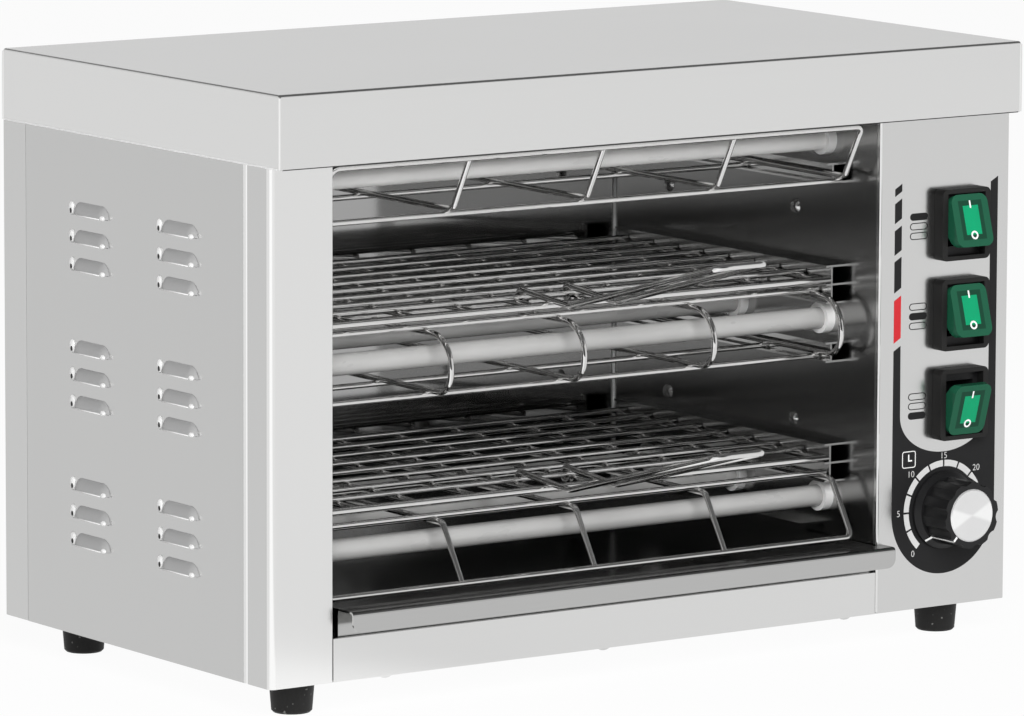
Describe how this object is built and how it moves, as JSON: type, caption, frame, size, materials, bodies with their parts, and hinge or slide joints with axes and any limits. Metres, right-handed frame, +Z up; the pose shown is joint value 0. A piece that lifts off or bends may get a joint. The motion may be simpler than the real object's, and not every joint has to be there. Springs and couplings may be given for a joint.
{
  "type": "salamander grill",
  "caption": "Open-front counter-top salamander grill with quartz heating tubes behind wire guards, slide-out wire grates with handles, a crumb tray, rocker switches and a timer knob.",
  "frame": {"origin": "centre of the bounding box's bottom, on the plane of the feet", "axes": "+Z up, -Y out of the open front, +X towards the control panel"},
  "size_m": [0.455, 0.372, 0.3045],
  "materials": {
    "brushed_steel": "fine brushed",
    "polished_steel": "polished",
    "bright_wire": "bright polished wire",
    "milky_quartz": "milky, glossy",
    "white_ceramic": "matte",
    "resistance_wire": "dull",
    "brass": "plain",
    "screw_steel": "bright",
    "black_plastic": "matte",
    "black_rubber": "matte",
    "green_lens": "clear glossy",
    "knob_plastic": "satin",
    "spun_aluminium": "spun"
  },
  "bodies": {
    "housing": {"top_cover": "brushed_steel", "left_side_panel": "brushed_steel", "right_side_panel": "brushed_steel", "front_post": "brushed_steel", "control_panel": "brushed_steel", "back_panel": "brushed_steel", "bottom_plate": "brushed_steel", "cavity_floor": "brushed_steel", "cavity_left_wall": "polished_steel", "cavity_right_wall": "polished_steel", "cavity_back_wall": "polished_steel", "cavity_roof": "polished_steel", "top_guard_rails": "polished_steel", "upper_grate_rails": "polished_steel", "middle_guard_rails": "polished_steel", "lower_grate_rails": "polished_steel", "tray_rails": "polished_steel", "top_guard": "bright_wire", "middle_guard": "bright_wire", "bottom_guard": "bright_wire", "top_tubes": "milky_quartz", "middle_tubes": "milky_quartz", "bottom_tubes": "milky_quartz", "top_caps": "white_ceramic", "middle_caps": "white_ceramic", "bottom_caps": "white_ceramic", "terminal_block": "white_ceramic", "heating_coils": "resistance_wire", "terminal_studs": "brass", "bus_strips": "brass", "foot_screws": "screw_steel", "wall_screws": "screw_steel", "cover_screws": "screw_steel", "rail_screws": "screw_steel", "timer_nut": "screw_steel", "switch_body_1": "black_plastic", "switch_body_2": "black_plastic", "switch_body_3": "black_plastic", "timer_body": "black_plastic", "cord_gland": "black_plastic", "gland_nut": "black_plastic", "switch_boot_1": "black_rubber", "switch_boot_2": "black_rubber", "switch_boot_3": "black_rubber", "foot_front_left": "black_rubber", "foot_front_right": "black_rubber", "foot_back_left": "black_rubber", "foot_back_right": "black_rubber"},
    "upper_grate": {"upper_grate": "bright_wire"},
    "lower_grate": {"lower_grate": "bright_wire"},
    "upper_handle": {"upper_handle": "bright_wire"},
    "lower_handle": {"lower_handle": "bright_wire"},
    "crumb_tray": {"crumb_tray": "brushed_steel"},
    "rocker_1": {"rocker_1": "green_lens"},
    "rocker_2": {"rocker_2": "green_lens"},
    "rocker_3": {"rocker_3": "green_lens"},
    "timer_knob": {"timer_knob": "knob_plastic", "knob_cap": "spun_aluminium", "timer_shaft": "screw_steel"}
  },
  "joints": [
    {"name": "lower_grate_slide", "type": "slide", "parent": "housing", "child": "lower_grate", "axis": [0, -1, 0], "range_m": [0, 0.11]},
    {"name": "lower_handle_hinge", "type": "hinge", "parent": "lower_grate", "child": "lower_handle", "pos_m": [-0.027, -0.0197, 0.0955], "axis": [-1, 0, 0], "range_deg": [0, 20]},
    {"name": "upper_grate_slide", "type": "slide", "parent": "housing", "child": "upper_grate", "axis": [0, -1, 0], "range_m": [0, 0.11]},
    {"name": "upper_handle_hinge", "type": "hinge", "parent": "upper_grate", "child": "upper_handle", "pos_m": [-0.027, -0.0197, 0.187], "axis": [-1, 0, 0], "range_deg": [0, 20]},
    {"name": "crumb_tray_slide", "type": "slide", "parent": "housing", "child": "crumb_tray", "axis": [0, -1, 0], "range_m": [0, 0.15]},
    {"name": "rocker_1_hinge", "type": "hinge", "parent": "housing", "child": "rocker_1", "pos_m": [0.1922, -0.075, 0.2131], "axis": [1, 0, 0], "range_deg": [0, 32]},
    {"name": "rocker_2_hinge", "type": "hinge", "parent": "housing", "child": "rocker_2", "pos_m": [0.1922, -0.075, 0.1671], "axis": [1, 0, 0], "range_deg": [0, 32]},
    {"name": "rocker_3_hinge", "type": "hinge", "parent": "housing", "child": "rocker_3", "pos_m": [0.1922, -0.075, 0.1211], "axis": [-1, 0, 0], "range_deg": [0, 32]},
    {"name": "timer_turn", "type": "hinge", "parent": "housing", "child": "timer_knob", "pos_m": [0.1846, -0.072, 0.0665], "axis": [0, 1, 0], "range_deg": [0, 270]}
  ]
}
